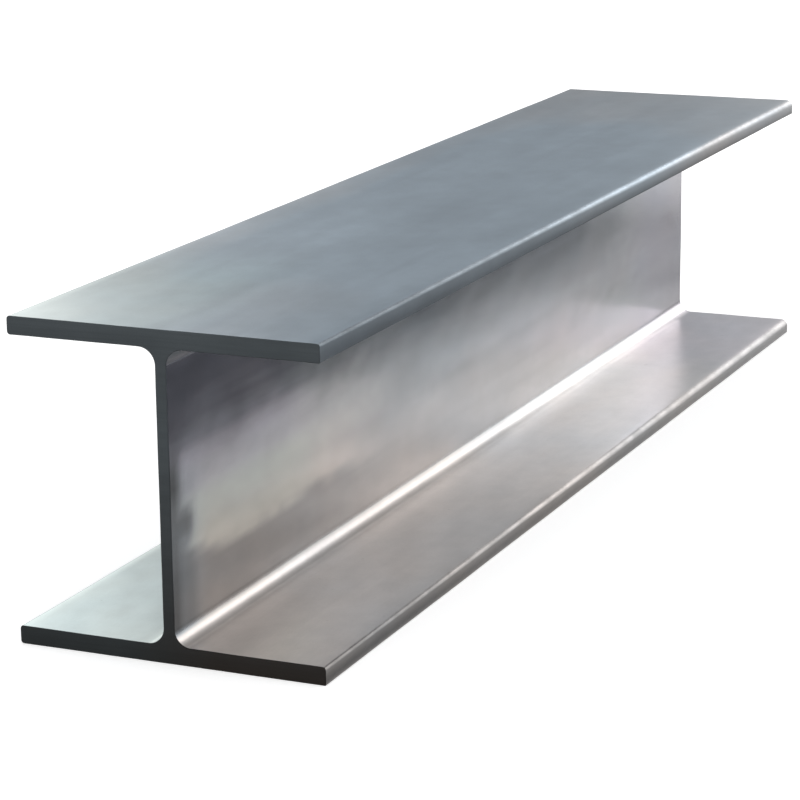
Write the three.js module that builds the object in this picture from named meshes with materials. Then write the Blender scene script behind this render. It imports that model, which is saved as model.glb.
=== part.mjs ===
// Hot-rolled wide-flange H-beam, 250 x 250 x 9 x 14, cut to a short length: one piece of steel stock.
//
// Millimetres, +Z up. The beam lies on the outer face of its bottom flange and runs along Y.
// The origin is on that face, under the middle of the web, at half the length.

import * as THREE from "three";

// Rolled section
const DEPTH = 250; // outer face of one flange to outer face of the other
const FLANGE_WIDTH = 250; // toe to toe
const FLANGE_THICKNESS = 14;
const WEB_THICKNESS = 9;
const ROOT_RADIUS = 13; // fillet between web and flange, rolled in one with both
const TOE_RADIUS = 2.5; // the rolls leave the edges of each flange slightly rounded

// Cut to length
const LENGTH = 1175;
const END_ARRIS = 0.6; // bevel left where the sawn ends are deburred

const ARC_SEGMENTS = 12; // flats on each quarter-round of the section
const MOST_OF_A_FACE = 0.45; // a rounded edge leaves at least a tenth of its face flat

const STEEL = new THREE.MeshStandardMaterial({
  color: 0x9aa0a6,
  roughness: 0.38,
  metalness: 0.9,
});

// Half sizes that the corners of the section are placed from, with its centre at 0, 0.
const outerFace = DEPTH / 2;
const innerFace = outerFace - FLANGE_THICKNESS;
const toe = FLANGE_WIDTH / 2;
const webFace = WEB_THICKNESS / 2;
const overhang = toe - webFace;

const toeRadius = Math.min(TOE_RADIUS, MOST_OF_A_FACE * FLANGE_THICKNESS);
const rootRadius = Math.min(ROOT_RADIUS, overhang - toeRadius, innerFace);

// A square corner of the section and the radius it is rounded to.
function corner(x, z, radius) {
  return { point: new THREE.Vector2(x, z), radius };
}

// The corners of the section in order, anticlockwise: one quarter, then its three mirror images.
function sectionCorners() {
  const quarter = [
    corner(webFace, innerFace, rootRadius),
    corner(toe, innerFace, toeRadius),
    corner(toe, outerFace, toeRadius),
  ];
  const mirrored = (corners, signX, signZ) =>
    corners.map(({ point, radius }) => corner(signX * point.x, signZ * point.y, radius));
  const reversed = [...quarter].reverse();
  return [
    ...quarter,
    ...mirrored(reversed, -1, 1),
    ...mirrored(quarter, -1, -1),
    ...mirrored(reversed, 1, -1),
  ];
}

// A closed outline through square corners, each replaced by its quarter-round. An arc runs from its
// tangent point on the side before the corner to the one on the side after it, about a centre one
// radius along both sides. It turns anticlockwise at a toe and clockwise at a root.
function roundedOutline(corners) {
  const outline = new THREE.Shape();
  corners.forEach(({ point, radius }, i) => {
    const previous = corners.at(i - 1).point;
    const next = corners[(i + 1) % corners.length].point;
    const back = previous.clone().sub(point).normalize();
    const onward = next.clone().sub(point).normalize();
    const centre = point.clone().addScaledVector(back, radius).addScaledVector(onward, radius);
    const startAngle = onward.clone().negate().angle();
    const endAngle = back.clone().negate().angle();
    const clockwise = back.cross(onward) > 0;
    outline.absarc(centre.x, centre.y, radius, startAngle, endAngle, clockwise);
  });
  outline.closePath();
  return outline;
}

// The section drawn along the beam. Both ends are cut square, and the bevel takes the sharp arris
// off all round them, so the section stands at its full size up to the bevel.
function beamGeometry() {
  const geometry = new THREE.ExtrudeGeometry(roundedOutline(sectionCorners()), {
    depth: LENGTH - 2 * END_ARRIS,
    steps: 1,
    curveSegments: ARC_SEGMENTS / 2, // three.js puts twice this many on an arc
    bevelEnabled: true,
    bevelThickness: END_ARRIS,
    bevelSize: END_ARRIS,
    bevelOffset: -END_ARRIS,
    bevelSegments: 1,
  });
  geometry.center();
  geometry.rotateX(Math.PI / 2); // section upright in X and Z, length along Y
  return geometry;
}

const beam = new THREE.Mesh(beamGeometry(), STEEL);
beam.name = "h_beam";
beam.position.z = DEPTH / 2;

const part = new THREE.Group();
part.add(beam);

export default part;
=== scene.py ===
"""Looks of a short length of hot-rolled H-beam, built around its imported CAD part.

The beam is one piece of steel. It lies on its bottom flange along Y, with its front end towards -Y,
and its origin is on the floor at the middle of its length. Lengths are in metres.
"""

import math

import bpy
import numpy as np
from mathutils import Matrix, Vector, noise


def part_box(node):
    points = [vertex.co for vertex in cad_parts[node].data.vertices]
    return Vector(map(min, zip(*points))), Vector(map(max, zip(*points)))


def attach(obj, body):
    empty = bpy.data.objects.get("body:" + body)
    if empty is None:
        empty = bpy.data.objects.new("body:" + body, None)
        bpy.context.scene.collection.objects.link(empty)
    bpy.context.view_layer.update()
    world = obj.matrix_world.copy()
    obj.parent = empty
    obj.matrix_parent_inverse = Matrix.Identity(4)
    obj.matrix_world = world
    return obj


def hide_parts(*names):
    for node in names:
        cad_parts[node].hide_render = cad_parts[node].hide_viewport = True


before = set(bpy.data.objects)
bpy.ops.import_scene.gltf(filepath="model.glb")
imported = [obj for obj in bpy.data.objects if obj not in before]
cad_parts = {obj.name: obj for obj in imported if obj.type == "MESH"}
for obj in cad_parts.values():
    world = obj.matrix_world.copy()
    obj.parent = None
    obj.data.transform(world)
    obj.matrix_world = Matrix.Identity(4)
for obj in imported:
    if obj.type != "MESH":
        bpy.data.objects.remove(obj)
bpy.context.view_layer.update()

MM = 0.001

# The rolled section. Its outer size comes from the CAD node.
BOX_LOW, BOX_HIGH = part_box("h_beam")
HALF_WIDTH = BOX_HIGH.x
DEPTH = BOX_HIGH.z
HALF_LENGTH = BOX_HIGH.y
FRONT = BOX_LOW.y
WEB_THICKNESS = 9 * MM
FLANGE_THICKNESS = 14 * MM
ROOT_RADIUS = 13 * MM
TOE_RADIUS = 2.5 * MM
END_ARRIS = 0.6 * MM

# The arrises of the right-hand toes, (upper, lower). Towards the rear the rolls have left the upper
# ones rounder.
FRONT_ARRISES = (2.5 * MM, 1.0 * MM)
REAR_ARRISES = (6.3 * MM, 1.0 * MM)

# How finely the surface is divided
FLAT_STEP = 8 * MM
LENGTH_STEP = 6 * MM
ROOT_SEGMENTS = 14
TOE_SEGMENTS = 6

# The wave that the rolls leave in a surface that is flat on the drawing: fractal noise
WAVE_HEIGHT = 0.22 * MM
WAVE_ACROSS = 60 * MM
WAVE_ALONG = 150 * MM
WAVE_INCREMENT = 0.9
WAVE_LACUNARITY = 2.1
WAVE_OCTAVES = 4

# The patch of painted reflection on the right of the web, lighter near the front end: its upper and lower
# edge as (Y, Z) points, the (size, depth) of the wobbles in its edge, and the notch in its front edge
PATCH_TOP = ((-0.56, 0.158), (-0.36, 0.158), (-0.22, 0.134), (0.0, 0.105))
PATCH_FOOT = ((-0.56, 0.080), (-0.48, 0.063), (-0.34, 0.071), (-0.23, 0.066))
PATCH_WOBBLES = ((45 * MM, 6 * MM), (14 * MM, 2.5 * MM))
NOTCH_HEIGHT = 102 * MM
NOTCH_WIDTH = 14 * MM
NOTCH_DEPTH = 16 * MM

# The long faint drifts of scale along a face: how wide and how long they are
DRIFT_WIDTH = 20 * MM
DRIFT_LENGTH = 220 * MM

# Without a seed of its own, noise_vector takes one from the time
NOISE_SEED = 4

# Camera: where it aims and stands
AIM = Vector((0.0, -0.1643, 0.0958))
CAMERA_DISTANCE = 2.4485
CAMERA_AZIMUTH = math.radians(23.626)
CAMERA_ELEVATION = math.radians(14.574)
CAMERA_ROLL = math.radians(0.657)
CAMERA_LENS = 129.75

# Steel colours, linear: blue mill scale, the warmer steel colour low in the right channel,
# and the rusty specks in both
COOL_STEEL = (0.314, 0.371, 0.421)
WARM_STEEL = (0.388, 0.363, 0.348)
SPECK = (0.16, 0.13, 0.11)

# Faint colour casts on the steel: a factor for each colour channel
GREEN_CAST = (0.978, 1.044, 0.978)
LILAC_CAST = (1.022, 0.956, 1.022)

# The sawn ends, linear, whose darkness is partly painted shade: high up, and low on the left and on the
# right, where painted shade makes them darker still
SAWN_STEEL = (0.054, 0.062, 0.067)
SAWN_SHADED_FOOT_LEFT = (0.024, 0.027, 0.028)
SAWN_SHADED_FOOT_RIGHT = (0.022, 0.019, 0.017)

# Studio: the lamps and the sky card stand this far from the origin. Azimuth turns from +Y to +X.
STUDIO_RADIUS = 8.0
WORLD_LEVEL = 0.6
FLOOR_SIZE = 60.0
FLOOR_COLOUR = (0.85, 0.85, 0.85)
FLOOR_GLOW = 0.5
WHITE = (1.0, 1.0, 1.0)
WARM_WHITE = (1.0, 0.98, 0.97)
CREAM_WHITE = (1.0, 1.0, 0.94)


# ---------------------------------------------------------------- the beam's mesh


def section_corners(right_arrises):
    """The section's twelve square corners and their radii, anticlockwise as seen from the front end."""
    web, root = WEB_THICKNESS / 2, DEPTH / 2 - FLANGE_THICKNESS
    upper, lower = right_arrises

    def quarter(x_sign, z_sign, inner=TOE_RADIUS, outer=TOE_RADIUS):
        return [
            ((web * x_sign, root * z_sign), ROOT_RADIUS, ROOT_SEGMENTS),
            ((HALF_WIDTH * x_sign, root * z_sign), inner, TOE_SEGMENTS),
            ((HALF_WIDTH * x_sign, DEPTH / 2 * z_sign), outer, TOE_SEGMENTS),
        ]

    top_right, bottom_right = quarter(1, 1, lower, upper), quarter(1, -1, upper, lower)
    return top_right + quarter(-1, 1)[::-1] + quarter(-1, -1) + bottom_right[::-1]


def section_outline(right_arrises):
    """Points round the section, the outward normal at each, and how much of an edge each one is."""
    corners = section_corners(right_arrises)
    points, normals, edge = [], [], []
    for i, (corner, radius, segments) in enumerate(corners):
        corner = Vector(corner)
        after, after_radius, _ = corners[(i + 1) % len(corners)]
        back = (Vector(corners[i - 1][0]) - corner).normalized()
        onward = (Vector(after) - corner).normalized()
        centre = corner + radius * (back + onward)
        convex = back.x * onward.y - back.y * onward.x < 0
        for k in range(segments + 1):
            turn = k / segments * math.pi / 2
            spoke = -onward * math.cos(turn) - back * math.sin(turn)
            points.append(centre + radius * spoke)
            normals.append(spoke if convex else -spoke)
            edge.append(math.sin(2 * turn) if convex else 0.0)
        start, end = points[-1], Vector(after) - onward * after_radius
        side = (Vector(after) - corner).length
        steps = 1 if side < 2 * FLAT_STEP else round(side / FLAT_STEP)
        for k in range(1, steps):
            points.append(start.lerp(end, k / steps))
            normals.append(normals[-1])
            edge.append(0.0)
    points = np.array([(x, z + DEPTH / 2) for x, z in points])
    return points, np.array(normals), np.array(edge)


def rolled_wave(x, y, z):
    """How far the rolled surface stands off the drawing at a point."""
    at = Vector((x / WAVE_ACROSS, y / WAVE_ALONG, z / WAVE_ACROSS))
    return WAVE_HEIGHT * noise.fractal(at, WAVE_INCREMENT, WAVE_LACUNARITY, WAVE_OCTAVES)


def beam_mesh():
    """The beam as one closed mesh: rings of the section along Y, an arris at each end, the sawn faces."""
    front, normals, edge = section_outline(FRONT_ARRISES)
    rear = section_outline(REAR_ARRISES)[0]
    count = len(front)
    last = HALF_LENGTH - END_ARRIS
    body = np.linspace(-last + END_ARRIS, last - END_ARRIS, round(2 * HALF_LENGTH / LENGTH_STEP) + 1)
    full = [(y, 0.0) for y in (-last, *body, last)]
    stations = [(-HALF_LENGTH, END_ARRIS), *full, (HALF_LENGTH, END_ARRIS)]
    vertices = []
    for y, inset in stations:
        outline = front + (rear - front) * (y + HALF_LENGTH) / (2 * HALF_LENGTH)
        for (x, z), (nx, nz) in zip(outline, normals):
            off = rolled_wave(x, y, z) - inset
            vertices.append((x + nx * off, y, max(z + nz * off, inset)))
    faces = []
    for ring in range(len(stations) - 1):
        for k in range(count):
            a, b = ring * count + k, ring * count + (k + 1) % count
            faces.append((a, a + count, b + count, b))
    faces.append(tuple(range(count)))
    faces.append(tuple(range((len(stations) - 1) * count, len(stations) * count))[::-1])
    mesh = bpy.data.meshes.new("h_beam_rolled")
    mesh.from_pydata(vertices, [], faces)
    arris = {0, len(stations) - 2}
    for polygon in mesh.polygons:
        is_sawn = polygon.index >= len(faces) - 2 or polygon.index // count in arris
        polygon.use_smooth = not is_sawn
        polygon.material_index = int(is_sawn)
    give(mesh, "edge", np.tile(edge, len(stations)))
    on = Faces(np.array(vertices), np.tile(normals, (len(stations), 1)))
    for name, values in surface_finish(on).items():
        give(mesh, name, values)
    mesh.validate()
    return mesh


def give(mesh, name, values):
    """Stores one number a vertex, for the materials to read."""
    mesh.attributes.new(name, "FLOAT", "POINT").data.foreach_set("value", values.astype(np.float32))


def make_beam():
    """The beam, which stands for the CAD solid and takes its place."""
    beam = bpy.data.objects.new("h_beam_rolled", beam_mesh())
    bpy.context.scene.collection.objects.link(beam)
    beam.data.materials.append(rolled_steel())
    beam.data.materials.append(sawn_steel())
    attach(beam, "root")
    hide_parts("h_beam")


# ---------------------------------------------------------------- how the steel varies over the beam


def ramp(value, start, whole, still=None, end=None):
    """0 at start and 1 at whole, with a smooth rise between. From still it falls again, to 0 at end."""
    share = np.clip((value - start) / (whole - start), 0, 1)
    rise = share * share * (3 - 2 * share)
    return rise if still is None else rise * ramp(value, end, still)


def hump(value, middle, width):
    """A soft hump, 1 at the middle."""
    return np.exp(-(((value - middle) / width) ** 2))


class Faces:
    """Where the vertices are, and how much each belongs to each face of the beam, from 0 to 1.

    The ledge is the flats of the bottom flange. The eaves are the right fillet under the top flange.
    along goes from 0 at the front end to 1 at the rear.
    """

    def __init__(self, at, normals):
        self.at = at
        x, y, z = self.x, self.y, self.z = at.T
        across, upward = self.across, self.upward = normals.T
        self.along = (y + HALF_LENGTH) / (2 * HALF_LENGTH)
        self.right = ramp(x, -4 * MM, 4 * MM)
        self.low = z < FLANGE_THICKNESS + 2 * ROOT_RADIUS
        self.top = ramp(z, DEPTH - 2 * MM, DEPTH)
        self.web = ramp(np.abs(across), 0.80, 0.98) * (np.abs(x) < ROOT_RADIUS)
        self.right_web = self.web * self.right
        self.root = ramp(np.abs(across * upward), 0.10, 0.40) * (np.abs(x) < 2 * ROOT_RADIUS)
        self.eaves = self.right * ramp(upward, -0.02, -0.15) * ramp(across, 0.05, 0.30)
        self.eaves *= x < 2 * ROOT_RADIUS
        self.toe = ramp(np.abs(x), HALF_WIDTH - 6 * MM, HALF_WIDTH - 3 * MM)
        self.toe *= ramp(np.abs(across), 0.05, 0.5)
        self.toe_up = self.toe * ramp(upward, 0.1, 0.6)
        self.toe_down = self.toe * ramp(-upward, 0.1, 0.6)
        flange_foot = np.where(self.low, 0, DEPTH - FLANGE_THICKNESS)
        self.toe_foot = self.toe * ramp(z - flange_foot, 8 * MM, 2 * MM)
        self.ledge = self.low * (1 - self.web) * (1 - self.toe)
        self.right_ledge = self.ledge * self.right
        self.mid_length = ramp(y, -0.48, -0.28, 0.22, 0.42)
        # Painted reflection: a lighter patch on the web, with painted shade above it
        self.patch, self.painted_shade_above_patch = painted_reflection_patch(at)
        self.upper_patch = self.patch * ramp(z, 0.112, 0.128)


def painted_reflection_patch(at):
    """The patch of painted reflection on the web, which is lighter, and the painted shade above it, which
    is darker.
    """
    noise.seed_set(NOISE_SEED)
    wobble = np.zeros_like(at)
    for size, depth in PATCH_WOBBLES:
        wobble += depth * np.array([noise.noise_vector(Vector(p) / size) for p in at])
    y, z = at[:, 1] + 2 * wobble[:, 1], at[:, 2] + wobble[:, 2]
    top, foot = np.interp(y, *zip(*PATCH_TOP)), np.interp(y, *zip(*PATCH_FOOT))
    inside = ramp(top - z, -3 * MM, 6 * MM) * ramp(z - foot, -4 * MM, 6 * MM)
    notch = NOTCH_DEPTH * hump(z, NOTCH_HEIGHT, NOTCH_WIDTH)
    front = ramp(y - notch, FRONT + 10.5 * MM, FRONT + 24.5 * MM)
    fade = ramp(y, -0.16, -0.30)
    return inside * front * fade, ramp(z - top, -3 * MM, 6 * MM) * fade


def drifts(at, axis, slant):
    """Long faint drifts of scale on a face, -1 to 1, along Y and slanting across it to the rear."""
    across = (at[:, axis] + slant * at[:, 1]) / DRIFT_WIDTH
    return np.array([noise.noise((u, v, 0.5)) for u, v in zip(across, at[:, 1] / DRIFT_LENGTH)])


def web_scale_and_painted_light(on):
    """Painted reflections and shade on the right side of the web, with drifts of scale: how much lighter
    it is than plain scale, or darker where it is below 0.
    """
    y, z, plain = on.y, on.z, 1 - on.patch
    # Painted shade: darker at the front edge, which reaches further in at the notch, and at the foot
    margin = ramp(y, FRONT + 24 * MM, FRONT + 8 * MM) * ramp(z, 0.165, 0.145)
    reach = plain * ramp(y, FRONT + 42 * MM, FRONT + 26 * MM) * hump(z, NOTCH_HEIGHT, 16 * MM)
    foot = plain * ramp(z, 0.10, 0.08) * ramp(y, -0.16, -0.46)
    tone = -0.14 - np.maximum(0.44 * np.maximum(margin, reach), 0.27 * foot)
    tone -= 0.16 * ramp(y, FRONT + 47.5 * MM, FRONT + 27.5 * MM) * ramp(z, 0.15, 0.13)
    # The painted reflection patch, the painted shade above it, and the long darker band of painted shade
    # at that height
    tone += 0.12 * on.patch - 0.05 * on.painted_shade_above_patch
    tone -= 0.14 * (1 - 0.5 * on.patch) * ramp(z, 0.105, 0.140, 0.147, 0.172) * ramp(y, 0.45, 0.30)
    tone += 0.20 * ramp(y, -0.50, -0.42, -0.38, -0.30) * ramp(z, 0.131, 0.145, 0.153, 0.167)
    # The lower half, with painted shade and reflection: darker to the rear, with a darker band through it
    # and a light foot
    tone -= (0.12 + 0.10 * ramp(y, -0.10, 0.20)) * ramp(z, 0.10, 0.06)
    tone -= 0.12 * ramp(y, -0.15, -0.05, 0.25, 0.35) * ramp(z, 0.059, 0.075, 0.092, 0.108)
    tone += 0.09 * ramp(y, 0.01, 0.13, 0.30, 0.42) * ramp(z, 0.050, 0.038)
    # Painted shade, darker behind the patch, along a line that leans to the front as it rises
    tone -= 0.14 * ramp(y + 3 * z, -0.08, 0.02, 0.06, 0.16) * ramp(z, 0.030, 0.050, 0.090, 0.110)
    tone -= 0.13 * ramp(y, -0.23, -0.17, -0.15, -0.09) * ramp(z, 0.090, 0.106, 0.118, 0.134)
    return on.right_web * (tone + 0.09 * drifts(on.at, axis=2, slant=0.10))


def ledge_scale_and_painted_light(on):
    """How much lighter the bottom flange is than plain scale, as painted reflection with faint drifts of
    scale. Its right half is lighter in places, also painted reflection.
    """
    x, y = on.x, on.y
    tone = 0.45 * on.ledge + 0.07 * on.ledge * drifts(on.at, axis=0, slant=0.35)
    tone += on.right_ledge * (0.14 * ramp(y, -0.05, 0.20) + 0.26 * ramp(y, -0.27, -0.52))
    tone -= on.right_ledge * 0.10 * ramp(y, 0.40, 0.56)
    tone += on.right_ledge * 0.24 * ramp(x, 30 * MM, 50 * MM) * ramp(y, -0.17, -0.05, 0.06, 0.18)
    # Painted reflection: lighter beside the right root
    by_root = on.right_ledge * ramp(on.upward, 0.92, 0.99) * ramp(x, 45 * MM, 20 * MM)
    middle = ramp(on.along, 0.1, 0.4, 0.46, 0.66)
    return tone + by_root * (0.15 * ramp(y, 0.42, 0.32) + 0.18 * middle)


def root_painted_light(on):
    """Painted highlight and shade on the right fillets. The lower one has a painted highlight beside the
    web, and painted shade beside the front ledge; the eaves have painted shade.
    """
    fillet_highlight = 0.40 * ramp(on.across, 0.80, 0.95) * ramp(on.upward, 0.10, 0.35)
    shade = ramp(on.upward, 0.66, 0.84, 0.93, 0.98) * np.clip(0.5 - on.along, 0, 1)
    return on.low * on.right * (0.12 * on.root + fillet_highlight - shade) - 0.60 * on.eaves


def toe_painted_light(on):
    """The flange toes, darkened with painted shade, with upper edges lightened by a painted highlight
    over most of the length.
    """
    low, along = on.low, on.along
    # Painted highlight along the upper edges; painted shade on the toes, their lower edges and their feet
    low_highlight = 0.40 * ramp(along, 0.05, 0.40) - 0.20 * ramp(along, 0.40, 0.60) - 0.20
    top_highlight = 0.54 * ramp(along, 0.05, 0.65) - 0.18
    tone = on.toe_up * np.where(low, low_highlight, top_highlight) - 0.30 * on.toe_down
    tone -= on.toe * np.where(low, 0.24 - 0.32 * along, 0.42 - 0.14 * along)
    return tone - on.toe_foot * np.where(low, 0.24, 0.34 * ramp(along, 0.25, 0.85))


def top_painted_light(on):
    """The top face, with painted reflection: light in its front left corner, and slightly so in its
    middle.
    """
    x, y = on.x, on.y
    tone = 0.30 * ramp(y, -0.42, -0.58) * ramp(x, 0, -0.12)
    tone += 0.07 * on.mid_length
    tone += 0.06 * ramp(y, -0.34, -0.22, -0.01, 0.11) * ramp(x, 0.02, -0.03)
    return on.top * tone


def steel_warmth(on):
    """From 0, blue mill scale, to 1, the warmer steel colour low in the right channel."""
    x, y, z = on.x, on.y, on.z
    warmth = on.right * np.clip(1 - z / DEPTH, 0, 1) ** 0.7 * (1 - (0.20 + 0.30 * on.web) * on.along)
    warmth += 0.5 * (1 - on.right) * on.low
    warmth += on.right_web * (0.22 * on.patch - 0.12 * on.upper_patch + 0.30 * ramp(y, 0.45, 0.58))
    warmth += 0.45 * on.toe * on.right * (1 - on.low) * ramp(on.along, 0.55, 0.8)
    top = 0.50 * ramp(y, -0.36, -0.57) * ramp(x, 0.03, -0.12) + 0.35 * ramp(y, 0.25, 0.55)
    top += 0.25 * ramp(x, -0.06, -0.11) * ramp(y, -0.50, -0.40)
    top -= 0.30 * on.mid_length * ramp(x, -0.11, -0.05)
    warmth += on.top * top
    # The front edge of the web and the eaves stay cool
    chill = ramp(y, FRONT + 64 * MM, FRONT + 8 * MM) * (0.4 + 0.6 * ramp(z, 0.11, 0.09))
    return warmth * (1 - 0.75 * np.maximum(on.web * chill, on.eaves))


def steel_cast(on):
    """From -1, lilac, to 1, green."""
    x, y, z = on.x, on.y, on.z
    web = (0.7 * on.patch - 1.2 * on.upper_patch) * ramp(y, -0.30, -0.40)
    web -= 0.9 * ramp(z, 0.135, 0.155) * ramp(y, -0.34, -0.44) + 0.7 * ramp(y, 0.38, 0.50)
    cast = on.right_web * web
    cast += on.ledge * (1 - on.right) * (0.3 + 0.7 * ramp(y, 0.05, -0.25))
    cast -= on.right_ledge * 0.6 * ramp(y, 0.30, 0.45)
    cast += on.top * 0.8 * ramp(y, -0.28, -0.46) * ramp(x, 0.04, -0.04)
    return np.clip(cast, -1, 1)


def surface_finish(on):
    """How warm, how light, of what cast and how rough the steel is at each vertex.

    The tones of the faces add up to a factor for the colour, which is 1 on plain scale. Apart from the
    drifts of scale, they are painted reflections, highlights and shade.
    """
    tone = 1 + web_scale_and_painted_light(on) + ledge_scale_and_painted_light(on) + root_painted_light(on) + toe_painted_light(on) + top_painted_light(on)
    # The web is the smoothest face, and the lower edges of the toes are the roughest
    rough = 0.325 - 0.13 * on.web + 0.12 * on.toe + 0.25 * on.toe_down
    rough += 0.07 * on.root * on.low + 0.20 * on.eaves
    return {"warmth": steel_warmth(on), "tone": tone, "cast": steel_cast(on), "roughness": rough}


# ---------------------------------------------------------------- materials


# The Mix node has sockets of the same names for each kind of data. These are its colour ones.
MIX_COLOUR_A, MIX_COLOUR_B, MIX_RESULT = 6, 7, 2


class Nodes:
    """Short names for the shader nodes that the materials share. Sizes are in metres."""

    def __init__(self, name):
        self.material = bpy.data.materials.new(name)
        self.material.use_nodes = True
        self.tree = self.material.node_tree
        self.shader = self.tree.nodes["Principled BSDF"]
        self.place = self.tree.nodes.new("ShaderNodeTexCoord").outputs["Object"]

    def put(self, value, socket):
        """Links a socket, or sets it to a plain value."""
        if isinstance(value, bpy.types.NodeSocket):
            self.tree.links.new(value, socket)
        else:
            socket.default_value = value

    def attribute(self, name):
        node = self.tree.nodes.new("ShaderNodeAttribute")
        node.attribute_name = name
        return node.outputs["Fac"]

    def across_and_height(self):
        node = self.tree.nodes.new("ShaderNodeSeparateXYZ")
        self.put(self.place, node.inputs[0])
        return node.outputs["X"], node.outputs["Z"]

    def noise(self, size, stretch, detail, shift=0.0):
        """Smooth noise from 0 to 1, with features of that size, longer by stretch along each axis."""
        mapping = self.tree.nodes.new("ShaderNodeMapping")
        mapping.inputs["Location"].default_value = (shift, shift, shift)
        mapping.inputs["Scale"].default_value = [1 / (size * s) for s in stretch]
        self.put(self.place, mapping.inputs["Vector"])
        node = self.tree.nodes.new("ShaderNodeTexNoise")
        node.inputs["Scale"].default_value = 1.0
        node.inputs["Detail"].default_value = detail
        self.put(mapping.outputs[0], node.inputs["Vector"])
        return node.outputs["Fac"]

    def math(self, operation, first, second):
        node = self.tree.nodes.new("ShaderNodeMath")
        node.operation = operation
        self.put(first, node.inputs[0])
        self.put(second, node.inputs[1])
        return node.outputs[0]

    def span(self, value, low, high, to_low=0.0, to_high=1.0, smooth=False):
        """value between low and high, mapped to to_low and to_high, and clamped there."""
        node = self.tree.nodes.new("ShaderNodeMapRange")
        node.interpolation_type = "SMOOTHSTEP" if smooth else "LINEAR"
        self.put(value, node.inputs["Value"])
        limits = {"From Min": low, "From Max": high, "To Min": to_low, "To Max": to_high}
        for name, number in limits.items():
            self.put(number, node.inputs[name])
        return node.outputs[0]

    def swing(self, texture, amount, low=0.25):
        """A number that goes from -amount to amount as a noise goes from low to 1 - low."""
        return self.span(texture, low, 1 - low, -amount, amount)

    def vary(self, factor, texture, amount, low=0.25):
        """factor, less or more by a share of up to amount."""
        return self.math("MULTIPLY", factor, self.span(texture, low, 1 - low, 1 - amount, 1 + amount))

    def mix(self, share, first, second, blend="MIX"):
        """A colour between first and second."""
        node = self.tree.nodes.new("ShaderNodeMix")
        node.data_type, node.blend_type = "RGBA", blend
        self.put(share, node.inputs["Factor"])
        for colour, number in ((first, MIX_COLOUR_A), (second, MIX_COLOUR_B)):
            linked = isinstance(colour, bpy.types.NodeSocket)
            self.put(colour if linked else (*colour, 1), node.inputs[number])
        return node.outputs[MIX_RESULT]

    def shade(self, colour, factor):
        """colour made lighter or darker by a factor."""
        node = self.tree.nodes.new("ShaderNodeVectorMath")
        node.operation = "SCALE"
        self.put(colour, node.inputs[0])
        self.put(factor, node.inputs["Scale"])
        return node.outputs[0]

    def bump(self, height, depth, below=None):
        """The surface raised by up to depth where height is 1, on top of another bump."""
        node = self.tree.nodes.new("ShaderNodeBump")
        node.inputs["Strength"].default_value = 1.0
        node.inputs["Distance"].default_value = depth
        self.put(height, node.inputs["Height"])
        if below is not None:
            self.put(below, node.inputs["Normal"])
        return node.outputs[0]


def rolled_steel():
    """Hot-rolled steel: thin mill scale, drawn into faint streaks along the rolling direction."""
    n = Nodes("beam_rolled_steel")
    clouds = n.noise(170 * MM, (1, 1.6, 1), 3)
    patches = n.noise(45 * MM, (1, 1.8, 1), 3, shift=3.1)
    streaks = n.noise(9 * MM, (1, 40, 1), 3, shift=7.7)
    mottle = n.noise(16 * MM, (1, 1.4, 1), 2, shift=1.3)
    grain = n.noise(1.6 * MM, (1, 2.5, 1), 1)
    specks = n.noise(5 * MM, (1, 1.3, 1), 2, shift=5.9)
    wear = n.noise(24 * MM, (1, 1, 1), 3, shift=9.2)

    warmth = n.math("ADD", n.attribute("warmth"), n.swing(clouds, 0.22, low=0.3))
    colour = n.mix(n.span(warmth, 0, 1), COOL_STEEL, WARM_STEEL)
    cast = n.mix(n.span(n.attribute("cast"), -1, 1), LILAC_CAST, GREEN_CAST)
    colour = n.mix(1.0, colour, cast, "MULTIPLY")
    # The tone holds painted reflections, highlights and shade, with the drifts of scale
    tone = n.vary(n.attribute("tone"), clouds, 0.05, low=0.3)
    tone = n.vary(tone, patches, 0.05)
    tone = n.vary(tone, mottle, 0.045)
    tone = n.vary(tone, streaks, 0.035)
    tone = n.vary(tone, grain, 0.02)
    worn = n.math("MULTIPLY", n.attribute("edge"), n.swing(wear, 0.16, low=0.35))
    tone = n.math("MULTIPLY", tone, n.math("ADD", worn, 1.0))
    spot = n.span(specks, 0.72, 0.82, 0.0, 0.20, smooth=True)
    n.put(n.mix(spot, n.shade(colour, tone), SPECK), n.shader.inputs["Base Color"])
    n.shader.inputs["Metallic"].default_value = 1.0

    rough = n.math("ADD", n.attribute("roughness"), n.swing(patches, 0.025))
    rough = n.math("ADD", rough, n.swing(streaks, 0.015))
    rough = n.math("ADD", rough, n.math("MULTIPLY", spot, 0.4))
    n.put(rough, n.shader.inputs["Roughness"])

    normal = n.bump(mottle, 0.02 * MM)
    normal = n.bump(streaks, 0.006 * MM, normal)
    normal = n.bump(grain, 0.004 * MM, normal)
    n.put(normal, n.shader.inputs["Normal"])
    return n.material


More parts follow.
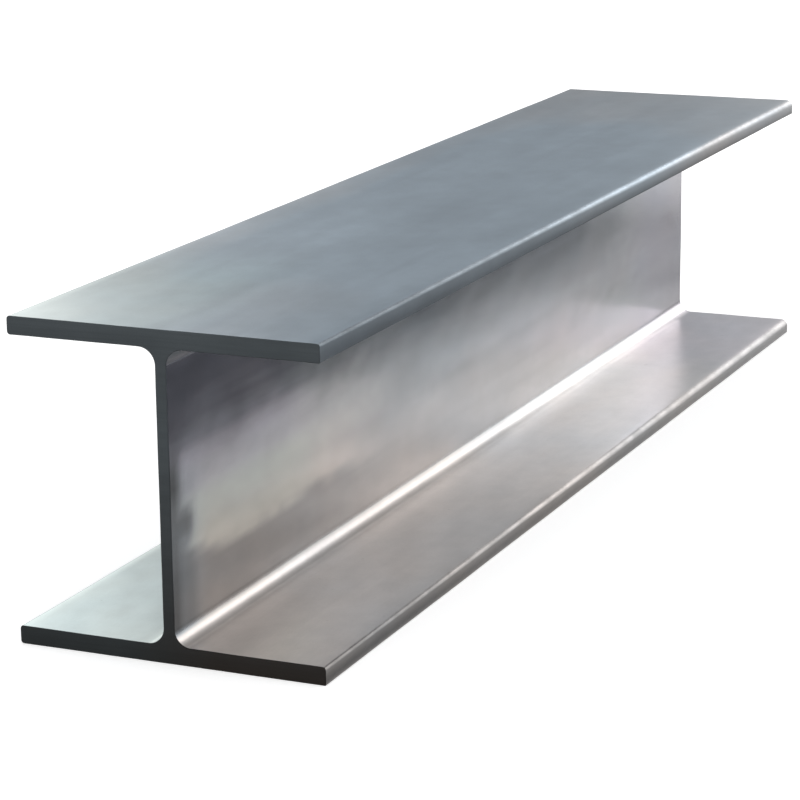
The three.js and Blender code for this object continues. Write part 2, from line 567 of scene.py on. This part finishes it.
def sawn_steel():
    """A sawn end: dull, dark with a thin oxide and with painted shade, and browner and darker towards the
    ground, the darkening being painted shade.
    """
    n = Nodes("beam_sawn_steel")
    clouds = n.noise(60 * MM, (1, 1, 1), 3, shift=2.3)
    marks = n.noise(1.3 * MM, (60, 1, 1), 2)
    bands = n.noise(9 * MM, (25, 1, 1), 2, shift=4.1)
    grain = n.noise(1.1 * MM, (1, 1, 1), 2)
    across, height = n.across_and_height()
    # Painted shade: the colour grows darker towards the ground
    foot_blend = n.span(across, -0.3 * HALF_WIDTH, 0.3 * HALF_WIDTH)
    foot = n.mix(foot_blend, SAWN_SHADED_FOOT_LEFT, SAWN_SHADED_FOOT_RIGHT)
    colour = n.mix(n.span(height, 0.0, 0.7 * DEPTH), foot, SAWN_STEEL)
    tone = n.span(clouds, 0.3, 0.7, 0.86, 1.14)
    tone = n.vary(tone, bands, 0.07)
    tone = n.vary(tone, marks, 0.06)
    tone = n.vary(tone, grain, 0.05)
    n.put(n.shade(colour, tone), n.shader.inputs["Base Color"])
    n.shader.inputs["Metallic"].default_value = 1.0
    n.put(n.span(clouds, 0.3, 0.7, 0.46, 0.58), n.shader.inputs["Roughness"])
    normal = n.bump(bands, 0.03 * MM)
    normal = n.bump(marks, 0.012 * MM, normal)
    n.put(normal, n.shader.inputs["Normal"])
    return n.material


# ---------------------------------------------------------------- studio


def seen_directly(tree):
    """1 for camera, glossy and transmission rays, which see the white background, and 0 for the rest."""
    path = tree.nodes.new("ShaderNodeLightPath")
    total = path.outputs["Is Camera Ray"]
    for kind in ("Is Glossy Ray", "Is Transmission Ray"):
        larger = tree.nodes.new("ShaderNodeMath")
        larger.operation = "MAXIMUM"
        tree.links.new(total, larger.inputs[0])
        tree.links.new(path.outputs[kind], larger.inputs[1])
        total = larger.outputs[0]
    return total


def make_world():
    """A plain white world, which is brighter for the rays that see it directly."""
    world = bpy.data.worlds.new("studio")
    bpy.context.scene.world = world
    world.use_nodes = True
    tree = world.node_tree
    background = tree.nodes["Background"]
    background.inputs["Color"].default_value = (*WHITE, 1)
    level = tree.nodes.new("ShaderNodeMapRange")
    level.inputs["To Min"].default_value = WORLD_LEVEL
    level.inputs["To Max"].default_value = 1.0
    tree.links.new(seen_directly(tree), level.inputs["Value"])
    tree.links.new(level.outputs[0], background.inputs["Strength"])


def make_floor():
    """A white floor, which keeps the beam's soft shadow."""
    bpy.ops.mesh.primitive_plane_add(size=FLOOR_SIZE)
    floor = bpy.context.object
    floor.name = "floor"
    n = Nodes("pale_floor")
    n.shader.inputs["Base Color"].default_value = (*FLOOR_COLOUR, 1)
    n.shader.inputs["Roughness"].default_value = 0.9
    n.shader.inputs["Specular IOR Level"].default_value = 0.0
    n.shader.inputs["Emission Color"].default_value = (*WHITE, 1)
    glow = n.math("MULTIPLY", seen_directly(n.tree), FLOOR_GLOW)
    n.put(glow, n.shader.inputs["Emission Strength"])
    floor.data.materials.append(n.material)


def studio_place(azimuth, elevation):
    """A point on the studio's sphere, from angles in degrees."""
    a, e = math.radians(azimuth), math.radians(elevation)
    return STUDIO_RADIUS * Vector((math.sin(a) * math.cos(e), math.cos(a) * math.cos(e), math.sin(e)))


def soft_box(name, place, size, level, colour):
    """A soft box. In a mirror it adds level to the background.

    place is its azimuth and elevation, and size its width and height, in degrees.
    """
    stand = studio_place(*place)
    data = bpy.data.lights.new(name, "AREA")
    data.shape = "RECTANGLE"
    data.size, data.size_y = (STUDIO_RADIUS * math.radians(side) for side in size)
    data.energy = level * math.pi * data.size * data.size_y
    data.color = colour
    lamp = bpy.data.objects.new(name, data)
    lamp.location = stand
    lamp.rotation_mode = "QUATERNION"
    lamp.rotation_quaternion = (-stand).to_track_quat("-Z", "Y")
    lamp.visible_camera = False
    bpy.context.scene.collection.objects.link(lamp)


def card(name, place, feather, colour):
    """A card that glows with its colour, which only reflections see, from its front.

    place gives the point that is a share across and a share up. feather gives the widths of the soft
    edges as shares of the card: (left, right), (lower, upper).
    """
    (left, right), (lower, upper) = feather
    points = [(u, v) for v in (0, lower, 1 - upper, 1) for u in (0, left, 1 - right, 1)]
    starts = [4 * row + column for row in range(3) for column in range(3)]
    faces = [(k, k + 1, k + 5, k + 4) for k in starts]
    mesh = bpy.data.meshes.new(name)
    mesh.from_pydata([place(u, v) for u, v in points], [], faces)
    give(mesh, "cover", np.array([float(0 < u < 1 and 0 < v < 1) for u, v in points]))
    n = Nodes(name)
    paint = n.tree.nodes.new("ShaderNodeEmission")
    paint.inputs["Color"].default_value = (*colour, 1)
    clear = n.tree.nodes.new("ShaderNodeBsdfTransparent")
    blend = n.tree.nodes.new("ShaderNodeMixShader")
    back = n.tree.nodes.new("ShaderNodeNewGeometry").outputs["Backfacing"]
    n.put(n.math("SUBTRACT", n.attribute("cover"), back), blend.inputs[0])
    n.put(clear.outputs[0], blend.inputs[1])
    n.put(paint.outputs[0], blend.inputs[2])
    n.put(blend.outputs[0], n.tree.nodes["Material Output"].inputs["Surface"])
    mesh.materials.append(n.material)
    piece = bpy.data.objects.new(name, mesh)
    bpy.context.scene.collection.objects.link(piece)
    piece.visible_camera = False
    piece.visible_diffuse = False
    piece.visible_shadow = False
    piece.visible_transmission = False


def between(ends, share):
    """The point that is a share of the way from one end to the other."""
    return ends[0] + share * (ends[1] - ends[0])


def sky_card(name, azimuths, elevations, feather, colour):
    """A card that stands in the sky, between two azimuths and two elevations."""
    card(name, lambda u, v: studio_place(between(azimuths, u), between(elevations, v)), feather, colour)


def flat_card(name, xs, ys, height, feather, colour):
    """A card that lies level. Its front is up if xs rises, and down if xs falls."""
    card(name, lambda u, v: (between(xs, u), between(ys, v), height), feather, colour)


def make_lights():
    """The soft boxes, and the cards that darken parts of what the steel mirrors."""
    soft_box("back_right_core", place=(11.5, 19), size=(13, 15), level=2.0, colour=WARM_WHITE)
    soft_box("back_right", place=(15.5, 15), size=(27, 28), level=1.55, colour=WARM_WHITE)
    soft_box("back_left", place=(-39.5, 21.5), size=(12.5, 19), level=1.4, colour=CREAM_WHITE)
    soft_box("overhead", place=(0, 90), size=(55, 55), level=1.1, colour=WHITE)
    sky_card(
        "grey_card",
        azimuths=(-35.4, -7.6),
        elevations=(1.5, 43),
        feather=((0.33, 0.33), (0.07, 0.07)),
        colour=(0.39, 0.42, 0.45),
    )
    flat_card(
        "black_card",
        xs=(0.2375, 1.42),
        ys=(-0.75, 1.50),
        height=0.5 * MM,
        feather=((0.028, 0.05), (0.08, 0.20)),
        colour=(0.12, 0.12, 0.13),
    )
    flat_card(
        "far_card",
        xs=(0.1255, 0.25),
        ys=(0.25, 1.5),
        height=0.3 * MM,
        feather=((0.05, 0.1), (0.5, 0.3)),
        colour=(0.67, 0.67, 0.69),
    )
    flat_card(
        "end_card",
        xs=(-0.3, 0.1255),
        ys=(0.64, 1.44),
        height=0.3 * MM,
        feather=((0.3, 0.05), (0.20, 0.08)),
        colour=(0.82, 0.82, 0.84),
    )
    flat_card(
        "under_card",
        xs=(0.123, 0.012),
        ys=(-0.58, 0.58),
        height=DEPTH - FLANGE_THICKNESS - 1.5 * MM,
        feather=((0.1, 0.1), (0.25, 0.02)),
        colour=(0.6, 0.6, 0.6),
    )
    flat_card(
        "toe_card",
        xs=(0.1255, 0.15),
        ys=(-1.0, 1.5),
        height=0.7 * MM,
        feather=((0.05, 0.1), (0.04, 0.78)),
        colour=(0.33, 0.33, 0.33),
    )


def make_camera():
    """The camera, at the photo's viewpoint."""
    data = bpy.data.cameras.new("camera")
    data.lens = CAMERA_LENS
    camera = bpy.data.objects.new("camera", data)
    back = Vector((
        math.sin(CAMERA_AZIMUTH) * math.cos(CAMERA_ELEVATION),
        -math.cos(CAMERA_AZIMUTH) * math.cos(CAMERA_ELEVATION),
        math.sin(CAMERA_ELEVATION),
    ))
    stand = Matrix.Translation(AIM + CAMERA_DISTANCE * back)
    look = (-back).to_track_quat("-Z", "Y").to_matrix().to_4x4()
    camera.matrix_world = stand @ look @ Matrix.Rotation(-CAMERA_ROLL, 4, "Z")
    bpy.context.scene.collection.objects.link(camera)
    bpy.context.scene.camera = camera


bpy.context.scene.view_settings.view_transform = "Standard"
make_camera()
make_beam()
make_world()
make_floor()
make_lights()
